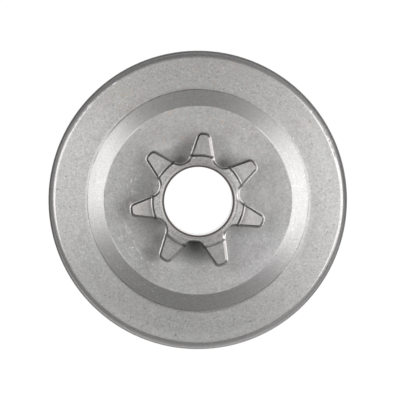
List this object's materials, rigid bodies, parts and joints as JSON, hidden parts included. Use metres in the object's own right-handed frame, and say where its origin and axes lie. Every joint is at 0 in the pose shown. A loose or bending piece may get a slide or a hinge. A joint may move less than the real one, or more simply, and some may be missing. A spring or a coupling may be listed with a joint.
{
  "type": "chainsaw clutch drum",
  "caption": "Clutch drum for a chainsaw: a shallow steel cup with a stepped face and a toothed spur sprocket that drives the chain, bored for a needle bearing.",
  "frame": {"origin": "centre of the open rim, on which the drum stands", "axes": "+Z along the bore from the open rim to the sprocket; +Y near the middle of one tooth"},
  "size_m": [0.071, 0.071, 0.032],
  "materials": {
    "pressed_steel": "tumbled matt grey, with a smoother bright slope and outer corner",
    "sintered_steel": "tumbled matt grey"
  },
  "bodies": {
    "root": {"drum_cup": "pressed_steel", "spur_sprocket": "sintered_steel"}
  },
  "joints": []
}
